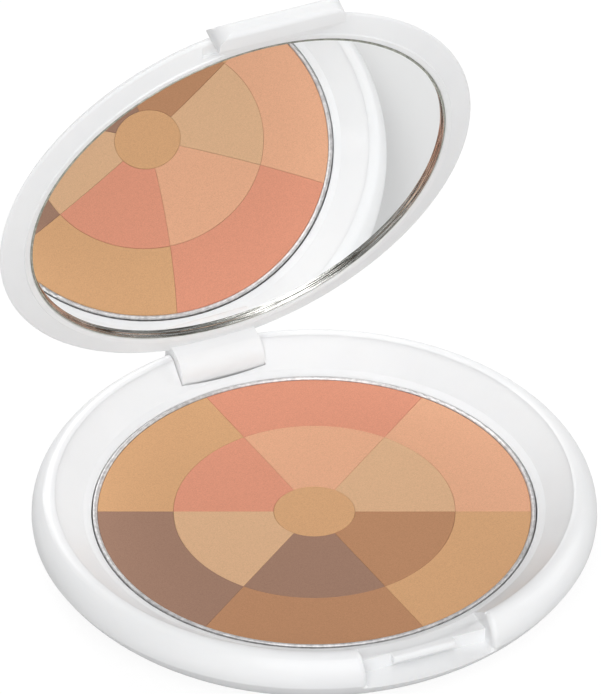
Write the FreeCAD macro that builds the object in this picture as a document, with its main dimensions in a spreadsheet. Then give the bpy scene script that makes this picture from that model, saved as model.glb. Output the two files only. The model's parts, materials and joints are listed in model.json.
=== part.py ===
"""Round powder compact, shown open: a shallow white base with a mosaic of
pressed powder, and a lid with a round mirror on a short rear hinge.

Frame: +Z up, origin at the middle of the face that the compact stands on.
The hinge is at +Y, the thumb tab at -Y.  Lengths are millimetres.
The lid's pieces are modelled closed, and their Placement opens them.
"""
import FreeCAD, Part
import Sketcher
import math
import os
import re

SIZES = {
    # pan and powder
    "pan_diameter": 59.0,
    "pan_wall": 0.6,
    "pan_rim_above_powder": 0.3,
    "pan_bend": 0.6,
    "pan_lip_round": 0.32,
    "pan_lip_height": 0.2,
    "pan_lip_bevel": 0.05,
    "pan_pad_radius": 20.0,
    "powder_level": 5.6,
    "powder_gap": 0.05,
    "tile_gap": 0.015,
    "tile_bevel": 0.05,
    "ring_radius": 18.76,
    "centre_radius": 5.42,
    "pattern_turn": -23.0,
    "glue_thickness": 0.15,
    # base
    "base_radius": 37.65,
    "rim_round": 3.8,
    "rim_round_end": 10.0,
    "rim_shoulder": 52.8,
    "rim_top_round": 1.8,
    "flank_round": 12.0,
    "flank_foot": 34.8,
    "flank_foot_level": 1.6,
    "foot_edge": 27.1,
    "label_radius": 25.0,
    "label_depth": 0.3,
    "floor_top": 1.6,
    "well_clearance": 0.2,
    "well_edge_radius": 30.8,
    "well_edge_above_powder": 0.45,
    "well_edge_bevel": 0.45,
    "ridge_radius": 34.5,
    "ridge_level": 8.9,
    "ring_wall": 1.35,
    "shell_wall": 1.6,
    "hollow_angle": 130.0,
    "hollow_inset": 0.3,
    "hollow_floor": 2.2,
    "hollow_foot": 3.6,
    "hollow_foot_wall": 3.1,
    "hollow_shoulder": 1.5,
    "hollow_shoulder_wall": 2.6,
    "hollow_ridge_wall": 0.9,
    "hollow_roof": 0.05,
    # hinge
    "axis_y": 34.5,
    "axis_z": 7.95,
    "lug_width": 12.0,
    "lug_round": 2.7,
    "lug_back": 0.4,
    "lug_drop": 0.9,
    "lug_throat": 0.9,
    "lug_top": 10.4,
    "lug_top_round": 1.3,
    "slot_side_clearance": 0.1,
    "slot_front": 31.0,
    "slot_floor": 4.1,
    "pin_radius": 0.75,
    "pin_bore_clearance": 0.05,
    "pin_reach": 1.0,
    "socket_end_play": 0.15,
    # latch
    "latch_shift": 1.3,
    "notch_half_width": 9.2,
    "notch_round": 0.7,
    "notch_start": 28.1,
    "shelf_inner": 6.15,
    "shelf_outer": 6.3,
    "notch_wall": 33.0,
    "notch_ledge": 4.2,
    "catch_width": 8.8,
    "catch_reach": 1.2,
    "catch_height": 1.1,
    "catch_round": 0.4,
    "catch_bevel": 0.3,
    "catch_root": 0.1,
    "tab_half_width": 9.05,
    "tab_inner": 32.6,
    "tab_step": 34.6,
    "tab_front": 37.8,
    "tab_bottom": 6.5,
    "tab_foot": 5.4,
    "tab_top": 8.2,
    "tab_corner": 2.1,
    "tab_crown_round": 9.0,
    "tab_nose_round": 1.35,
    "tab_nose_inset": 1.3,
    "tab_foot_round": 0.8,
    "tab_step_round": 0.3,
    "tab_root_level": 10.1,
    "tab_side_gap": 0.6,
    "tab_pocket_rise": 0.8,
    # lid
    "lid_radius": 33.8,
    "mirror_diameter": 59.5,
    "mirror_thickness": 1.5,
    "mirror_clearance": 0.05,
    "mirror_recess": 0.05,
    "mirror_bevel": 0.15,
    "mirror_pad_radius": 24.0,
    "lip_level": 8.16,
    "lip_width": 0.95,
    "lip_bevel": 0.15,
    "lip_step": 0.2,
    "rim_foot": 9.05,
    "rim_foot_inset": 0.35,
    "rim_foot_round": 0.8,
    "rim_level": 9.3,
    "rim_side_round": 6.0,
    "shoulder_level": 10.9,
    "shoulder_inset": 1.9,
    "shoulder_round": 3.0,
    "crown_edge": 11.27,
    "crown_inset": 3.14,
    "lid_crown": 12.4,
    "open_angle": 74.8,
}

doc = FreeCAD.newDocument("powder_compact")
sheet = doc.addObject("Spreadsheet::Sheet", "Sizes")
for row, (alias, value) in enumerate(SIZES.items(), start=1):
    sheet.set("A%d" % row, alias)
    sheet.set("B%d" % row, str(value))
    sheet.setAlias("B%d" % row, alias)
doc.recompute()

ALIAS = re.compile(r"\b(%s)\b" % "|".join(SIZES))
nodes = []


def bound(text):
    """Write a formula on sheet names as a document expression."""
    return ALIAS.sub(r"Sizes.\1", text)


def number(text):
    """The present value of a formula on sheet names."""
    value = sheet.evalExpression(bound(text))
    return float(getattr(value, "Value", value))


def new_body(label):
    body = doc.addObject("PartDesign::Body", label)
    body.Label = label
    nodes.append(body)
    return body


def plane(body, role):
    return next(item for item in body.Origin.OriginFeatures if item.Role == role)


def arc_centre(start, end, radius, side):
    """Centre of the short arc from start to end; side 1 has it on the left."""
    chord = end - start
    half = chord.Length / 2
    lift = math.sqrt(max(radius * radius - half * half, 0.0))
    left = FreeCAD.Vector(-chord.y, chord.x, 0).normalize()
    return (start + end) / 2 + left * lift * side


def outline(sketch, corners):
    """Closed outline.  A corner is (x, y), or (x, y, radius, side) where an
    arc with its centre on the left (1) or right (-1) leads to the next one."""
    points = [FreeCAD.Vector(number(c[0]), number(c[1]), 0) for c in corners]
    starts = []
    for i, corner in enumerate(corners):
        start, end = points[i], points[(i + 1) % len(points)]
        if len(corner) == 2:
            starts.append((sketch.addGeometry(Part.LineSegment(start, end), False), 1, 2))
            continue
        radius, side = number(corner[2]), corner[3]
        centre = arc_centre(start, end, radius, side)
        first, last = (start, end) if side > 0 else (end, start)
        angles = [math.atan2(p.y - centre.y, p.x - centre.x) for p in (first, last)]
        if angles[1] < angles[0]:
            angles[1] += 2 * math.pi
        circle = Part.Circle(centre, FreeCAD.Vector(0, 0, 1), radius)
        index = sketch.addGeometry(Part.ArcOfCircle(circle, angles[0], angles[1]), False)
        starts.append((index, 1, 2) if side > 0 else (index, 2, 1))
    for i, corner in enumerate(corners):
        index, first, last = starts[i]
        following = starts[(i + 1) % len(starts)]
        sketch.addConstraint(Sketcher.Constraint("Coincident", index, last, following[0], following[1]))
        for kind, text in (("DistanceX", corner[0]), ("DistanceY", corner[1])):
            made = sketch.addConstraint(Sketcher.Constraint(kind, index, first, number(text)))
            sketch.setExpression("Constraints[%d]" % made, bound(text))
        if len(corner) == 4:
            made = sketch.addConstraint(Sketcher.Constraint("Radius", index, number(corner[2])))
            sketch.setExpression("Constraints[%d]" % made, bound(corner[2]))


def circles(sketch, radii, at=("0", "0")):
    """Concentric circles about one point."""
    centre = FreeCAD.Vector(number(at[0]), number(at[1]), 0)
    for text in radii:
        index = sketch.addGeometry(Part.Circle(centre, FreeCAD.Vector(0, 0, 1), number(text)), False)
        for kind, place in (("DistanceX", at[0]), ("DistanceY", at[1])):
            made = sketch.addConstraint(Sketcher.Constraint(kind, index, 3, number(place)))
            sketch.setExpression("Constraints[%d]" % made, bound(place))
        made = sketch.addConstraint(Sketcher.Constraint("Radius", index, number(text)))
        sketch.setExpression("Constraints[%d]" % made, bound(text))


def new_sketch(body, name, role):
    sketch = body.newObject("Sketcher::SketchObject", name)
    sketch.AttachmentSupport = [(plane(body, role), "")]
    sketch.MapMode = "FlatFace"
    return sketch


def turned(body, kind, name, corners, angle=360.0, across=False):
    """Revolve (or groove) an outline of (radius, height) corners about Z."""
    sketch = new_sketch(body, name + "_outline", "XZ_Plane")
    outline(sketch, corners)
    feature = body.newObject("PartDesign::" + kind, name)
    feature.Profile = sketch
    feature.ReferenceAxis = (sketch, ["V_Axis"])
    feature.Angle = angle
    feature.Midplane = across
    doc.recompute()
    return feature


def extruded(body, kind, name, role, length, corners=None, radii=None, at=("0", "0"), offset=None,
             both=False, back=False):
    """Pad or pocket an outline, or circles, standing on an origin plane."""
    sketch = new_sketch(body, name + "_outline", role)
    if offset:
        sketch.setExpression("AttachmentOffset.Base.z", bound(offset))
        doc.recompute()
    if corners:
        outline(sketch, corners)
    else:
        circles(sketch, radii, at)
    feature = body.newObject("PartDesign::" + kind, name)
    feature.Profile = sketch
    if both:
        feature.SideType = "Symmetric"
    feature.Reversed = back
    feature.setExpression("Length", bound(length))
    before = body.Shape.Volume if kind == "Pocket" else 0.0
    doc.recompute()
    if kind == "Pocket" and not feature.Shape.Volume < before - 1e-6:
        raise RuntimeError("%s cut nothing" % name)
    return feature


def edges_where(feature, test):
    """Names of the edges whose middle point and direction pass the test."""
    found = []
    for i, edge in enumerate(feature.Shape.Edges, start=1):
        middle = edge.valueAt((edge.FirstParameter + edge.LastParameter) / 2)
        if test(middle, edge):
            found.append("Edge%d" % i)
    return found


def softened(body, kind, name, feature, edges, size_name, size):
    made = body.newObject("PartDesign::" + kind, name)
    made.Base = (feature, edges)
    made.setExpression(size_name, bound(size))
    doc.recompute()
    return made


# ---------------------------------------------------------------- base
RIM = "(base_radius - rim_round)"
EDGE_Z = "powder_level + well_edge_above_powder"
WELL = "(pan_diameter / 2 + well_clearance)"
DISH = "(ridge_level - (%s)) / (ridge_radius - well_edge_radius)" % EDGE_Z
SWEEP = "((flank_foot - foot_edge)^2 + flank_foot_level^2) / (2 * flank_foot_level)"
OUTSIDE = "(base_radius + rim_round)"
ABOVE = "(powder_level + 2 * rim_round)"


def seat_line(radius):
    """Height, at a radius, of the cone where the inner ring lies on the shell."""
    return "ridge_level - (ridge_radius - (%s)) * (%s) - ring_wall" % (radius, DISH)


def rim_cuts(body):
    """The hinge slot with its pin sockets at the back, and the latch notch."""
    slot_width = "lug_width + 2 * slot_side_clearance"
    extruded(body, "Pocket", "hinge_slot", "YZ_Plane", slot_width, both=True, corners=[
        ("slot_front", "slot_floor"),
        (OUTSIDE, "slot_floor"),
        (OUTSIDE, ABOVE),
        ("slot_front", ABOVE),
    ])
    extruded(body, "Pocket", "pin_sockets", "YZ_Plane", both=True,
             length="lug_width + 2 * (slot_side_clearance + pin_reach + socket_end_play)",
             radii=["pin_radius + pin_bore_clearance"], at=("axis_y", "axis_z"))
    notch_width = "2 * notch_half_width"
    extruded(body, "Pocket", "latch_notch", "YZ_Plane", notch_width, both=True,
             offset="latch_shift", corners=[
        ("-" + OUTSIDE, "notch_ledge"),
        ("-notch_wall", "notch_ledge"),
        ("-notch_wall", "shelf_outer"),
        ("-well_edge_radius", "shelf_inner"),
        ("-notch_start", "shelf_inner"),
        ("-notch_start", ABOVE),
        ("-" + OUTSIDE, ABOVE),
    ])


def rim_end(middle, edge):
    """True for the curved edge where the rim is cut off at either end of the notch."""
    at_end = abs(abs(middle.x - number("latch_shift")) - number("notch_half_width")) < 1e-3
    return at_end and middle.y < 0 and math.hypot(middle.x, middle.y) > number("ridge_radius") + 1.0


def make_base_shell():
    """Outer moulding: floor, foot, rounded wall with a tucked-in flank, and
    the blocks that hold the hinge pin and the catch bar."""
    body = new_body("base_shell")
    turned(body, "Revolution", "wall_and_floor", [
        ("0", "label_depth"),
        ("label_radius", "label_depth"),
        ("label_radius + label_depth", "0"),
        ("foot_edge", "0", SWEEP, 1),
        ("flank_foot", "flank_foot_level", "flank_round", 1),
        ("%s + rim_round * cos(rim_round_end)" % RIM, "powder_level - rim_round * sin(rim_round_end)",
         "rim_round", 1),
        ("%s + rim_round * cos(rim_shoulder)" % RIM, "powder_level + rim_round * sin(rim_shoulder)",
         "rim_top_round", 1),
        ("ridge_radius", "ridge_level"),
        ("ridge_radius", seat_line("ridge_radius")),
        ("%s + ring_wall" % WELL, seat_line("%s + ring_wall" % WELL)),
        ("%s + ring_wall" % WELL, "floor_top"),
        ("0", "floor_top"),
    ])
    inner = "%s + ring_wall - hollow_inset" % WELL
    outer = "ridge_radius - hollow_ridge_wall"
    turned(body, "Groove", "hollow_right", angle=number("hollow_angle"), across=True, corners=[
        (inner, "hollow_floor"),
        ("base_radius - hollow_foot_wall", "hollow_foot"),
        ("base_radius - shell_wall", "powder_level"),
        ("base_radius - hollow_shoulder_wall", "powder_level + hollow_shoulder"),
        (outer, "(%s) - hollow_roof" % seat_line(outer)),
        (inner, "(%s) - hollow_roof" % seat_line(inner)),
    ])
    mirrored = body.newObject("PartDesign::Mirrored", "hollow_left")
    mirrored.Originals = [body.getObject("hollow_right") or doc.getObject("hollow_right")]
    mirrored.MirrorPlane = (plane(body, "YZ_Plane"), [""])
    body.Tip = mirrored
    doc.recompute()
    rim_cuts(body)
    notch = doc.getObject("latch_notch")
    softened(body, "Fillet", "notch_ends", notch, edges_where(notch, rim_end), "Radius", "notch_round")
    extruded(body, "Pad", "catch_bar", "YZ_Plane", "catch_width", both=True, offset="latch_shift", corners=[
        ("-notch_wall + catch_root", "shelf_outer - catch_height"),
        ("-notch_wall - catch_reach + catch_bevel", "shelf_outer - catch_height"),
        ("-notch_wall - catch_reach", "shelf_outer - catch_height + catch_bevel"),
        ("-notch_wall - catch_reach", "shelf_outer - catch_round", "catch_round", -1),
        ("-notch_wall - catch_reach + catch_round", "shelf_outer"),
        ("-notch_wall + catch_root", "shelf_outer"),
    ])


def make_base_ring():
    """Inner moulding: the well's wall and the sloping dish around the pan."""
    body = new_body("base_ring")
    turned(body, "Revolution", "well_and_dish", [
        (WELL, "floor_top"),
        ("%s + ring_wall" % WELL, "floor_top"),
        ("%s + ring_wall" % WELL, seat_line("%s + ring_wall" % WELL)),
        ("ridge_radius", seat_line("ridge_radius")),
        ("ridge_radius", "ridge_level"),
        ("well_edge_radius", EDGE_Z),
        (WELL, "%s - well_edge_bevel" % EDGE_Z),
    ])
    rim_cuts(body)


def make_pan():
    """Pressed metal pan with an upstanding wall and a rolled top edge."""
    body = new_body("pan")
    rim_z = "powder_level + pan_rim_above_powder"
    bottom = "floor_top + glue_thickness"
    turned(body, "Revolution", "pan_wall_and_floor", [
        ("0", bottom),
        ("pan_diameter / 2 - pan_bend", bottom, "pan_bend", 1),
        ("pan_diameter / 2", "%s + pan_bend" % bottom),
        ("pan_diameter / 2", "%s - pan_lip_height" % rim_z, "pan_lip_round", 1),
        ("pan_diameter / 2 - pan_wall + pan_lip_bevel", "%s - pan_lip_height" % rim_z),
        ("pan_diameter / 2 - pan_wall", "%s - pan_lip_height - pan_lip_bevel" % rim_z),
        ("pan_diameter / 2 - pan_wall", "%s + pan_wall" % bottom),
        ("0", "%s + pan_wall" % bottom),
    ])


POWDER_FLOOR = "floor_top + glue_thickness + pan_wall"
POWDER_RADIUS = "(pan_diameter / 2 - pan_wall - powder_gap)"
TILE_HEIGHT = "powder_level - (%s)" % POWDER_FLOOR


def make_disc(label, radius, bottom, height):
    body = new_body(label)
    return body, extruded(body, "Pad", label + "_disc", "XY_Plane", height, radii=[radius], offset=bottom)


def top_edges(feature, height):
    return edges_where(feature, lambda middle, edge: abs(middle.z - height) < 1e-4)


def make_powder_centre():
    body, disc = make_disc("powder_centre", "centre_radius - tile_gap", POWDER_FLOOR, TILE_HEIGHT)
    softened(body, "Chamfer", "powder_centre_bevel", disc, top_edges(disc, number("powder_level")),
             "Size", "tile_bevel")


def sector_corners(inner, outer):
    """A sixth of a ring about the X axis, with half a gap along each side."""
    def corner(radius, side):
        angle = "(30 deg - asin(tile_gap / (%s)))" % radius
        sign = "-" if side < 0 else ""
        return "(%s) * cos(%s)" % (radius, angle), "%s(%s) * sin(%s)" % (sign, radius, angle)
    return [
        corner(inner, -1),
        corner(outer, -1) + (outer, 1),
        corner(outer, 1),
        corner(inner, 1) + (inner, -1),
    ]


def make_powder_ring(row, inner, outer):
    """Six tiles of one ring of the mosaic, numbered anticlockwise."""
    for i in range(6):
        label = "powder_%s_%d" % (row, i + 1)
        body = new_body(label)
        tile = extruded(body, "Pad", label + "_tile", "XY_Plane", TILE_HEIGHT, offset=POWDER_FLOOR,
                        corners=sector_corners(inner, outer))
        softened(body, "Chamfer", label + "_bevel", tile, top_edges(tile, number("powder_level")),
                 "Size", "tile_bevel")
        body.setExpression("Placement.Rotation.Angle", bound("pattern_turn + %d" % (30 + 60 * i)))


def make_hinge_pin():
    """Steel pin pressed through the lug; its ends turn in the slot's sockets."""
    pin = doc.addObject("Part::Cylinder", "hinge_pin")
    pin.Label = "hinge_pin"
    half = "(lug_width / 2 + slot_side_clearance + pin_reach)"
    pin.setExpression("Radius", bound("pin_radius"))
    pin.setExpression("Height", bound("2 * " + half))
    pin.Placement.Rotation = FreeCAD.Rotation(FreeCAD.Vector(0, 1, 0), 90)
    pin.setExpression("Placement.Base.x", bound("-" + half))
    pin.setExpression("Placement.Base.y", bound("axis_y"))
    pin.setExpression("Placement.Base.z", bound("axis_z"))
    nodes.append(pin)


# ----------------------------------------------------------------- lid
MIRROR = "(mirror_diameter / 2)"
MIRROR_FRONT = "lip_level + mirror_recess"
MIRROR_BACK = "%s + mirror_thickness" % MIRROR_FRONT
POCKET_TOP = "%s + glue_thickness" % MIRROR_BACK
RECESS = "(%s + mirror_clearance)" % MIRROR
LID_ROOT = "(%s + 0.5)" % RECESS
TAB_ROOT = "(-tab_inner + tab_corner)"


def open_lid(body):
    """Turn a closed piece about the hinge axis to the open position."""
    body.Placement.Rotation = FreeCAD.Rotation(FreeCAD.Vector(-1, 0, 0), SIZES["open_angle"])
    body.setExpression("Placement.Rotation.Angle", bound("open_angle"))
    forward = "axis_y - axis_y * cos(open_angle) - axis_z * sin(open_angle)"
    upward = "axis_z + axis_y * sin(open_angle) - axis_z * cos(open_angle)"
    body.setExpression("Placement.Base.y", bound(forward))
    body.setExpression("Placement.Base.z", bound(upward))


def rounded_bar(middle, half_width, front, back, corner):
    """Bar across the Y axis with quarter-round corners."""
    left, right = "%s - %s" % (middle, half_width), "%s + %s" % (middle, half_width)
    near, far = "%s + %s" % (front, corner), "%s - %s" % (back, corner)
    return [
        (left, near, corner, 1),
        ("%s + %s" % (left, corner), front),
        ("%s - %s" % (right, corner), front, corner, 1),
        (right, near),
        (right, far, corner, 1),
        ("%s - %s" % (right, corner), back),
        ("%s + %s" % (left, corner), back, corner, 1),
        (left, far),
    ]


def make_tab_block():
    """The thumb tab, made on its own and joined to the lid: a plate with a
    stepped underside, rounded front and well-rounded ends."""
    plan = doc.addObject("PartDesign::Body", "tab_plan")
    extruded(plan, "Pad", "tab_outline", "XY_Plane", "lid_crown", offset="0",
             corners=rounded_bar("latch_shift", "tab_half_width", "-tab_front", "-tab_inner", "tab_corner"))
    body = doc.addObject("PartDesign::Body", "thumb_tab")
    length = "2 * (tab_half_width + tab_corner)"
    extruded(body, "Pad", "tab_section", "YZ_Plane", length, both=True, offset="latch_shift", corners=[
        (TAB_ROOT, "tab_bottom"),
        (TAB_ROOT, "tab_root_level"),
        ("-tab_inner - tab_nose_round", "tab_root_level", "tab_crown_round", 1),
        ("-tab_front + tab_nose_inset", "tab_top", "tab_nose_round", 1),
        ("-tab_front", "tab_top - tab_nose_inset"),
        ("-tab_front", "tab_foot + tab_foot_round", "tab_foot_round", 1),
        ("-tab_front + tab_foot_round", "tab_foot"),
        ("-tab_step - tab_step_round", "tab_foot", "tab_step_round", 1),
        ("-tab_step", "tab_foot + tab_step_round"),
        ("-tab_step", "tab_bottom"),
    ])
    common = body.newObject("PartDesign::Boolean", "tab_common")
    common.Type = "Common"
    common.setObjects([plan])
    doc.recompute()
    return body


def make_lid_shell():
    """Lid moulding: crowned outside, sloping annulus round the mirror, hinge
    lug at the back and thumb tab at the front, all in one piece."""
    body = new_body("lid_shell")
    crown_radius = "(lid_radius - crown_inset)"
    dome = "(%s^2 + (lid_crown - crown_edge)^2) / (2 * (lid_crown - crown_edge))" % crown_radius
    turned(body, "Revolution", "lid_dome", [
        ("0", POCKET_TOP),
        (RECESS, POCKET_TOP),
        (RECESS, "lip_level + lip_bevel"),
        ("%s + lip_bevel" % RECESS, "lip_level"),
        ("%s + lip_width - lip_bevel" % RECESS, "lip_level"),
        ("%s + lip_width" % RECESS, "lip_level + lip_step"),
        ("lid_radius - rim_foot_inset", "rim_foot", "rim_foot_round", 1),
        ("lid_radius", "rim_level", "rim_side_round", 1),
        ("lid_radius - shoulder_inset", "shoulder_level", "shoulder_round", 1),
        (crown_radius, "crown_edge", dome, 1),
        ("0", "lid_crown"),
    ])
    lug_y, lug_z = "axis_y + lug_back", "axis_z - lug_drop"
    extruded(body, "Pad", "hinge_lug", "YZ_Plane", "lug_width", both=True, corners=[
        (LID_ROOT, "axis_z + lug_throat"),
        ("%s - lug_round" % lug_y, "axis_z + lug_throat"),
        ("%s - lug_round" % lug_y, lug_z, "lug_round", 1),
        (lug_y, "%s - lug_round" % lug_z, "lug_round", 1),
        ("%s + lug_round" % lug_y, lug_z),
        ("%s + lug_round" % lug_y, "lug_top - lug_top_round", "lug_top_round", 1),
        ("%s + lug_round - lug_top_round" % lug_y, "lug_top"),
        (LID_ROOT, "lug_top"),
    ])
    extruded(body, "Pocket", "pin_bore", "YZ_Plane", "lug_width + 2", both=True,
             radii=["pin_radius"], at=("axis_y", "axis_z"))
    pocket_width = "2 * (tab_half_width + tab_side_gap)"
    extruded(body, "Pocket", "tab_pocket", "YZ_Plane", pocket_width, both=True,
             offset="latch_shift", corners=[
        ("-" + OUTSIDE, "tab_foot"),
        ("-" + LID_ROOT, "tab_foot"),
        ("-" + LID_ROOT, "lip_level + tab_pocket_rise"),
        ("-" + OUTSIDE, "lip_level + tab_pocket_rise"),
    ])
    joined = body.newObject("PartDesign::Boolean", "tab_joined")
    joined.Type = "Fuse"
    joined.setObjects([make_tab_block()])
    doc.recompute()
    return body


def make_mirror():
    body, disc = make_disc("mirror", MIRROR, MIRROR_FRONT, "mirror_thickness")
    softened(body, "Chamfer", "mirror_ground_edge", disc, top_edges(disc, number(MIRROR_FRONT)),
             "Size", "mirror_bevel")
    open_lid(body)


make_base_shell()
make_base_ring()
make_pan()
make_disc("pan_adhesive", "pan_pad_radius", "floor_top", "glue_thickness")
make_powder_centre()
make_powder_ring("inner", "centre_radius + tile_gap", "ring_radius - tile_gap")
make_powder_ring("outer", "ring_radius + tile_gap", POWDER_RADIUS)
make_hinge_pin()
open_lid(make_lid_shell())
make_mirror()
mirror_pad, _ = make_disc("mirror_adhesive", "mirror_pad_radius", MIRROR_BACK, "glue_thickness")
open_lid(mirror_pad)
doc.recompute()

for item in doc.Objects:
    for state in ("Invalid", "Error"):
        if state in item.State:
            raise RuntimeError("%s is %s" % (item.Name, state))
for node in nodes:
    if node.Shape.isNull() or not node.Shape.isValid():
        raise RuntimeError("%s has no valid shape" % node.Label)

os.makedirs("parts", exist_ok=True)
for node in nodes:
    node.Shape.exportStep(os.path.join("parts", node.Label + ".step"))
    box = node.Shape.BoundBox
    print("%-18s solids %d volume %9.1f  x %.1f..%.1f y %.1f..%.1f z %.1f..%.1f" % (
        node.Label, len(node.Shape.Solids), node.Shape.Volume,
        box.XMin, box.XMax, box.YMin, box.YMax, box.ZMin, box.ZMax))
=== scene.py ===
"""Looks of the powder compact: materials, powder mosaic, mirror, floor, light
and camera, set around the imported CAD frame.  Lengths are metres."""
import json
import math
import bmesh
import bpy
from mathutils import Matrix, Vector


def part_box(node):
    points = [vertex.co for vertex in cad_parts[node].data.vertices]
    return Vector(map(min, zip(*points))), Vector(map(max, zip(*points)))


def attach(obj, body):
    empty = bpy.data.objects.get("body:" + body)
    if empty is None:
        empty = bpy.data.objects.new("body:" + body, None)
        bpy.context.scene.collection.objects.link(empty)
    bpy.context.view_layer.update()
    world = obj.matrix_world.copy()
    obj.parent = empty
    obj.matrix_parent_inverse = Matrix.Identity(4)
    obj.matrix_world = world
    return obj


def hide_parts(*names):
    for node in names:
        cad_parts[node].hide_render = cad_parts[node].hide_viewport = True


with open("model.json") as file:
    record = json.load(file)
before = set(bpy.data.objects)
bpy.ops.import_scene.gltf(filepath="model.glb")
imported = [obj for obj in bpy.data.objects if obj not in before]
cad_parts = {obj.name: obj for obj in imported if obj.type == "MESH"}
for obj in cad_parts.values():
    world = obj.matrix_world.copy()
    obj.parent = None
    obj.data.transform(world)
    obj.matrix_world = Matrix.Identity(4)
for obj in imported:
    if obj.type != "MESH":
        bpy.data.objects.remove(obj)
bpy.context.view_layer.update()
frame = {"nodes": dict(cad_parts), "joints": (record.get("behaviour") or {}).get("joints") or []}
MM = 0.001

# ------------------------------------------------------------ places from the frame
HINGE = frame["joints"][0]
HINGE_POINT = Vector(HINGE["pos_m"])
OPEN_ANGLE = -math.radians(HINGE["range_deg"][0])
OPENING = (Matrix.Translation(HINGE_POINT)
           @ Matrix.Rotation(OPEN_ANGLE, 4, Vector(HINGE["axis"]))
           @ Matrix.Translation(-HINGE_POINT))
CLOSING = OPENING.inverted()


def closed_box(node):
    """Lowest and highest corners of a lid node, as if the lid were shut."""
    points = [CLOSING @ vertex.co for vertex in frame["nodes"][node].data.vertices]
    low = Vector([min(p[i] for p in points) for i in range(3)])
    high = Vector([max(p[i] for p in points) for i in range(3)])
    return low, high


# ------------------------------------------------------------ material helpers
class Shader:
    """A node material with one Principled shader and short ways to wire it."""

    def __init__(self, name):
        self.material = bpy.data.materials.new(name)
        self.material.use_nodes = True
        self.tree = self.material.node_tree
        self.shader = self.tree.nodes["Principled BSDF"]
        self.place = self.tree.nodes.new("ShaderNodeTexCoord").outputs["Object"]

    def node(self, kind, **inputs):
        made = self.tree.nodes.new("ShaderNode" + kind)
        for key, value in inputs.items():
            self.wire(made.inputs[key.replace("_", " ")], value)
        return made

    def wire(self, socket, value):
        if isinstance(value, bpy.types.NodeSocket):
            self.tree.links.new(value, socket)
        else:
            socket.default_value = value

    def set(self, **inputs):
        for key, value in inputs.items():
            self.wire(self.shader.inputs[key.replace("_", " ")], value)

    def noise(self, scale, detail=2.0, place=None, rough=0.5):
        return self.node("TexNoise", Vector=place or self.place, Scale=scale,
                         Detail=detail, Roughness=rough).outputs["Fac"]

    def ramp(self, value, stops):
        """Colour ramp; stops are (position, colour) with three-value colours."""
        made = self.node("ValToRGB", Fac=value)
        elements = made.color_ramp.elements
        while len(elements) < len(stops):
            elements.new(0.5)
        for element, (position, colour) in zip(elements, stops):
            element.position = position
            element.color = (*colour, 1.0)
        return made.outputs["Color"]

    def bump(self, height, strength, distance):
        made = self.node("Bump", Height=height, Strength=strength, Distance=distance)
        self.set(Normal=made.outputs["Normal"])
        return made

    def math(self, kind, first, second=0.5):
        made = self.tree.nodes.new("ShaderNodeMath")
        made.operation = kind
        self.wire(made.inputs[0], first)
        self.wire(made.inputs[1], second)
        return made.outputs[0]

    def vector(self, kind, *values):
        made = self.tree.nodes.new("ShaderNodeVectorMath")
        made.operation = kind
        for socket, value in zip(made.inputs, values):
            self.wire(socket, value)
        return made.outputs[0]

    def dot(self, first, second):
        made = self.tree.nodes.new("ShaderNodeVectorMath")
        made.operation = "DOT_PRODUCT"
        self.wire(made.inputs[0], first)
        self.wire(made.inputs[1], second)
        return made.outputs["Value"]

    def blend(self, factor, first, second):
        made = self.tree.nodes.new("ShaderNodeMix")
        made.data_type = "RGBA"
        self.wire(made.inputs["Factor"], factor)
        self.wire(made.inputs["A"], first)
        self.wire(made.inputs["B"], second)
        return made.outputs["Result"]


def linear(red, green, blue):
    """Linear colour from display values out of 255."""
    def one(value):
        value /= 255.0
        return value / 12.92 if value <= 0.04045 else ((value + 0.055) / 1.055) ** 2.4
    return one(red), one(green), one(blue)


def scaled(colour, factor):
    return tuple(min(1.0, value * factor) for value in colour)


# ------------------------------------------------------------ materials
def white_plastic():
    """Glossy moulded plastic, faintly milky, with very slight moulding ripple."""
    made = Shader("white_plastic")
    cloud = made.noise(60.0, 3.0)
    made.set(Base_Color=made.ramp(cloud, [(0.3, (0.845, 0.85, 0.86)), (0.7, (0.875, 0.88, 0.885))]))
    fine = made.noise(900.0, 4.0)
    made.set(Roughness=made.math("MULTIPLY_ADD", fine, 0.08), Specular_IOR_Level=0.5)
    made.set(Subsurface_Weight=0.25, Subsurface_Radius=(1.0, 0.95, 0.9), Subsurface_Scale=0.0012)
    made.set(Coat_Weight=0.25, Coat_Roughness=0.08)
    made.bump(made.noise(260.0, 2.0), 0.05, 0.00008)
    return made.material


POWDER_BOUNCE = (0.66, 0.60, 0.56)  # what the powder throws back on to the white plastic


def pressed_powder(name, colour):
    """Fine mineral grain: tone speckle at two sizes, matte, softly rough."""
    made = Shader(name)
    grain = made.noise(6200.0, 2.0, rough=0.6)
    patches = made.noise(420.0, 3.0)
    speckle = made.ramp(grain, [(0.30, scaled(colour, 0.88)), (0.5, colour), (0.72, scaled(colour, 1.10))])
    shade = made.blend(made.math("MULTIPLY", patches, 0.35), speckle, (*scaled(colour, 1.03), 1.0))
    bounced = made.node("LightPath").outputs["Is Diffuse Ray"]
    made.set(Base_Color=made.blend(bounced, shade, (*POWDER_BOUNCE, 1.0)))
    made.set(Roughness=0.9, Specular_IOR_Level=0.15)
    made.bump(grain, 0.2, 0.00004)
    return made.material


def pan_metal():
    """Pressed aluminium, polished enough to pick up the powder and the well,
    with faint streaks from the press."""
    made = Shader("pan_metal")
    streaks = made.noise(1400.0, 3.0)
    made.set(Base_Color=made.ramp(streaks, [(0.3, (0.56, 0.55, 0.55)), (0.7, (0.84, 0.83, 0.83))]))
    made.set(Metallic=1.0, Roughness=made.math("MULTIPLY_ADD", streaks, 0.12))
    made.bump(streaks, 0.1, 0.00005)
    return made.material


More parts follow.
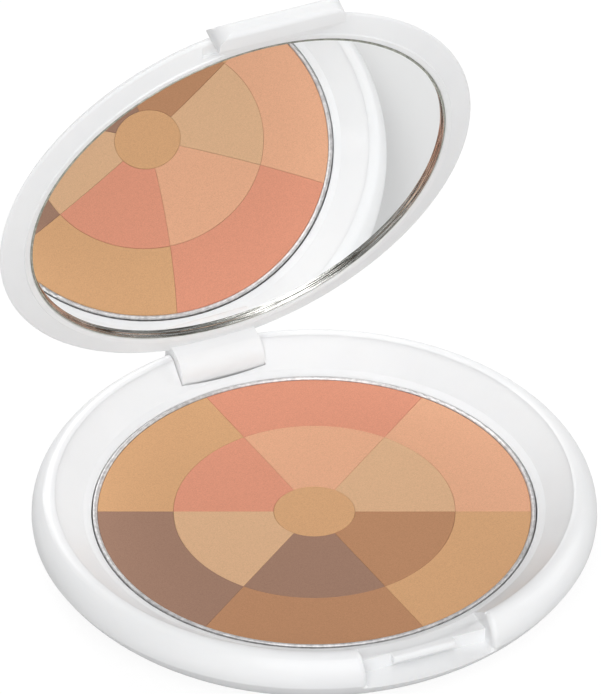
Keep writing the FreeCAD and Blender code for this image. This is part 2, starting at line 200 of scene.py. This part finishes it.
# Shading of the mirror: its slope, and how each slope changes per metre.
GLASS_LEAN = (-0.044, 0.015)  # sideways and upwards
GLASS_BOW_ACROSS = (2.12, -1.9, 0.0)
GLASS_BOW_ALONG = (1.05, 0.97, 0.0)


def silvering():
    """Silvered glass.  The glass is flat; only its shading is bowed, so that it
    shrinks what it reflects."""
    made = Shader("mirror_silvering")
    slope = made.node("CombineXYZ", Z=-1.0)
    for socket, lean, bow in zip(slope.inputs, GLASS_LEAN, (GLASS_BOW_ACROSS, GLASS_BOW_ALONG)):
        made.wire(socket, made.math("ADD", made.dot(made.place, bow), lean))
    facing = made.node("VectorTransform", Vector=made.vector("NORMALIZE", slope.outputs["Vector"]))
    facing.vector_type = "NORMAL"
    facing.convert_from = "OBJECT"
    facing.convert_to = "WORLD"
    made.set(Normal=facing.outputs["Vector"])
    haze = made.noise(40.0, 2.0)
    made.set(Base_Color=made.ramp(haze, [(0.3, (0.965, 0.97, 0.97)), (0.7, (0.98, 0.985, 0.985))]))
    made.set(Metallic=1.0, Roughness=made.math("MULTIPLY", haze, 0.012))
    return made.material


EDGE_DARK = (0.07, 0.07, 0.06)    # facets of the ground edge that turn away from the light
EDGE_LIGHT = (0.80, 0.80, 0.77)   # facets that catch it


def ground_glass():
    """Edge of the glass, seen from inside: fine streaks along the edge."""
    made = Shader("mirror_ground_edge")
    turn = made.node("TexGradient", Vector=made.place)
    turn.gradient_type = "RADIAL"
    height = made.node("SeparateXYZ", Vector=made.place).outputs["Z"]
    lines = made.node("CombineXYZ", X=made.math("MULTIPLY", turn.outputs["Fac"], 24.0),
                      Y=made.math("MULTIPLY", height, 9000.0))
    streaks = made.noise(1.0, 4.0, lines.outputs["Vector"], 0.7)
    mix = made.node("MapRange", Value=streaks, From_Min=0.46, From_Max=0.57).outputs["Result"]
    made.set(Base_Color=made.blend(mix, (*EDGE_DARK, 1.0), (*EDGE_LIGHT, 1.0)))
    made.set(Metallic=0.8, Roughness=0.2)
    made.bump(streaks, 0.3, 0.0001)
    return made.material


def glass_rim_and_gap_shade():
    """Thin outer line of the glass beside its seat: the faint green of the glass edge, darkened with painted
    shade for the gap between glass and seat.
    """
    made = Shader("mirror_rim_and_gap_shade")
    flecks = made.noise(1500.0, 3.0)
    # painted shade: the dark olive tones stand for the shadow in the gap beside the glass, laid over the
    # edge's faint green
    made.set(Base_Color=made.ramp(flecks, [(0.35, (0.26, 0.27, 0.23)), (0.65, (0.44, 0.45, 0.39))]))
    made.set(Metallic=0.3, Roughness=0.25)
    return made.material


def pin_steel():
    made = Shader("pin_steel")
    turned = made.noise(2500.0, 2.0)
    made.set(Base_Color=made.ramp(turned, [(0.3, (0.42, 0.42, 0.43)), (0.7, (0.62, 0.62, 0.63))]))
    made.set(Metallic=1.0, Roughness=0.3)
    made.bump(turned, 0.15, 0.00004)
    return made.material


def adhesive_pad():
    made = Shader("adhesive_pad")
    made.set(Base_Color=made.ramp(made.noise(900.0), [(0.3, (0.70, 0.68, 0.60)), (0.7, (0.82, 0.80, 0.74))]))
    made.set(Roughness=0.7)
    return made.material


def coat(objects, material):
    for thing in objects:
        thing.data.materials.clear()
        thing.data.materials.append(material)


# ------------------------------------------------------------ mesh helpers
def piece(name, mesh_builder, *replaced, slot=None):
    """Make one object from a bmesh builder, in place of the named CAD nodes."""
    mesh = bpy.data.meshes.new(name)
    work = bmesh.new()
    mesh_builder(work)
    bmesh.ops.recalc_face_normals(work, faces=work.faces)
    work.to_mesh(mesh)
    work.free()
    made = bpy.data.objects.new(name, mesh)
    bpy.context.scene.collection.objects.link(made)
    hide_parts(*replaced)
    return made


def spin_outline(work, outline, steps=256):
    """Close a solid of revolution about Z from (radius, height) points that
    start and end on the axis."""
    rings = []
    for radius, height in outline:
        if radius < 1e-9:
            rings.append([work.verts.new((0.0, 0.0, height))])
            continue
        rings.append([work.verts.new((radius * math.cos(2 * math.pi * i / steps),
                                      radius * math.sin(2 * math.pi * i / steps), height))
                      for i in range(steps)])
    bands = []
    for first, second in zip(rings, rings[1:]):
        band = []
        for i in range(steps):
            j = (i + 1) % steps
            corners = [first[i % len(first)], first[j % len(first)],
                       second[j % len(second)], second[i % len(second)]]
            unique = [v for k, v in enumerate(corners) if v not in corners[:k]]
            band.append(work.faces.new(unique))
        bands.append(band)
    return bands


# ------------------------------------------------------------ powder mosaic
TONES = {
    "tan": linear(213, 165, 121),
    "peach": linear(227, 171, 137),
    "salmon": linear(221, 150, 123),
    "mauve": linear(160, 125, 106),
    "brown": linear(186, 137, 102),
    "beige": linear(218, 176, 138),
}
OUTER_TONES = ["peach", "salmon", "tan", "mauve", "brown", "tan"]
INNER_TONES = ["beige", "peach", "salmon", "beige", "mauve", "brown"]


def powder_tiles():
    """Fine-grained material on each of the thirteen tiles."""
    shades = {tone: pressed_powder("powder_" + tone, colour) for tone, colour in TONES.items()}
    nodes = frame["nodes"]
    coat([nodes["powder_centre"]], shades["tan"])
    for i in range(6):
        coat([nodes["powder_outer_%d" % (i + 1)]], shades[OUTER_TONES[i]])
        coat([nodes["powder_inner_%d" % (i + 1)]], shades[INNER_TONES[i]])


# ------------------------------------------------------------ mirror
def mirror():
    """Silvered glass: the reflection lies a little behind the glass's front
    face, inside a streaky ground edge."""
    low, high = closed_box("mirror")
    radius, front, back = high.x, low.z, high.z
    sunk = 0.62 * MM
    chamfer = 0.12 * MM
    ground_edge = 0.25 * MM
    silver_bevel = 0.1 * MM
    silver_drop = 0.05 * MM
    wall = radius - ground_edge

    def build(work):
        outline = [(0.0, front + sunk), (wall - silver_bevel, front + sunk),
                   (wall, front + sunk - silver_drop), (wall, front),
                   (radius - chamfer, front), (radius, front + chamfer),
                   (radius, back), (0.0, back)]
        bands = spin_outline(work, outline)
        for band, index in zip(bands, (0, 1, 1, 2, 2, 2, 2)):
            for face in band:
                face.material_index = index
                face.smooth = True
        seams = [edge for edge in work.edges if len({face.material_index for face in edge.link_faces}) > 1]
        bmesh.ops.split_edges(work, edges=seams)

    made = piece("mirror_glass", build, "mirror", slot="mirror_glass")
    for material in (silvering(), ground_glass(), glass_rim_and_gap_shade()):
        made.data.materials.append(material)
    made.data.set_sharp_from_angle(angle=math.radians(30))
    made.matrix_world = OPENING
    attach(made, "lid")


# ------------------------------------------------------------ set
FLOOR_TONE = 0.60      # what the paper gives back to the object
FLOOR_SEEN_TONE = 0.12  # what the paper shows of the light that falls on it
FLOOR_SEEN = 0.90      # glow for the camera, so that the paper reads as white
FLOOR_MIRRORED = 0.12  # glow in the mirror and in the gloss of the plastic


def floor():
    """Pale paper: white to the camera, a little greyer in reflections."""
    mesh = bpy.data.meshes.new("floor")
    work = bmesh.new()
    bmesh.ops.create_grid(work, x_segments=2, y_segments=2, size=3.0)
    work.to_mesh(mesh)
    work.free()
    made = bpy.data.objects.new("floor", mesh)
    bpy.context.scene.collection.objects.link(made)
    shade = Shader("floor_paper")
    ray = shade.tree.nodes.new("ShaderNodeLightPath").outputs
    tone = shade.blend(ray["Is Camera Ray"], (*[FLOOR_TONE] * 3, 1.0), (*[FLOOR_SEEN_TONE] * 3, 1.0))
    shade.set(Base_Color=tone, Roughness=0.9, Specular_IOR_Level=0.1)
    shade.set(Emission_Color=(1.0, 1.0, 1.0, 1.0))
    seen = shade.math("MULTIPLY", ray["Is Camera Ray"], FLOOR_SEEN)
    mirrored = shade.math("MULTIPLY", ray["Is Glossy Ray"], FLOOR_MIRRORED)
    shade.set(Emission_Strength=shade.math("ADD", seen, mirrored))
    mesh.materials.append(shade.material)


def softbox(name, place, size, power):
    """Square area light aimed at the compact."""
    light = bpy.data.lights.new(name, "AREA")
    light.size = size
    light.energy = power
    made = bpy.data.objects.new(name, light)
    made.location = place
    made.rotation_euler = (Vector((0.0, 0.0, 0.01)) - Vector(place)).to_track_quat("-Z", "Y").to_euler()
    bpy.context.scene.collection.objects.link(made)


WORLD_LEVEL = 0.275
# name, place, side and power in watts
SOFTBOXES = [
    ("overhead", (0.0, 0.0, 0.9), 0.9, 1.05),
    ("front", (-0.25, -0.6, 0.6), 0.6, 4.5),
    ("right", (0.8, 0.0, 0.35), 0.5, 2.1),
    ("back", (0.0, 0.8, 0.5), 0.5, 4.3),
    ("low_front", (-0.3, -0.9, 0.15), 0.5, 1.5),
]


def lighting():
    world = bpy.data.worlds.new("studio")
    world.use_nodes = True
    world.node_tree.nodes["Background"].inputs["Color"].default_value = (1.0, 1.0, 1.0, 1.0)
    world.node_tree.nodes["Background"].inputs["Strength"].default_value = WORLD_LEVEL
    bpy.context.scene.world = world
    for name, place, size, power in SOFTBOXES:
        softbox(name, place, size, power)
    bpy.context.scene.view_settings.view_transform = "Standard"


AZIMUTH = math.radians(-23.0)
ELEVATION = math.radians(37.2)
FRAME_WIDTH = 80.0 * MM
DISTANCE = 3.0  # long lens, nearly parallel
LOOK_RIGHT = -1.84 * MM
LOOK_UP = 21.86 * MM


def camera():
    """Long lens from the front left and above, aimed above the powder."""
    back = Vector((math.sin(AZIMUTH) * math.cos(ELEVATION), -math.cos(AZIMUTH) * math.cos(ELEVATION),
                   math.sin(ELEVATION)))
    right = Vector((math.cos(AZIMUTH), math.sin(AZIMUTH), 0.0))
    up = back.cross(right)
    powder = Vector((0.0, 0.0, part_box("powder_centre")[1].z))
    target = powder + right * LOOK_RIGHT + up * LOOK_UP
    lens = bpy.data.cameras.new("camera")
    lens.sensor_width = 36.0
    lens.sensor_fit = "HORIZONTAL"
    lens.lens = lens.sensor_width * DISTANCE / FRAME_WIDTH
    lens.clip_start = 0.05
    made = bpy.data.objects.new("camera", lens)
    made.location = target + back * DISTANCE
    made.rotation_euler = (-back).to_track_quat("-Z", "Y").to_euler()
    bpy.context.scene.collection.objects.link(made)
    bpy.context.scene.camera = made


plastic = white_plastic()
coat([frame["nodes"][n] for n in ("base_shell", "base_ring", "lid_shell")], plastic)
coat([frame["nodes"]["pan"]], pan_metal())
coat([frame["nodes"][n] for n in ("pan_adhesive", "mirror_adhesive")], adhesive_pad())
coat([frame["nodes"]["hinge_pin"]], pin_steel())
powder_tiles()
mirror()
floor()
lighting()
camera()
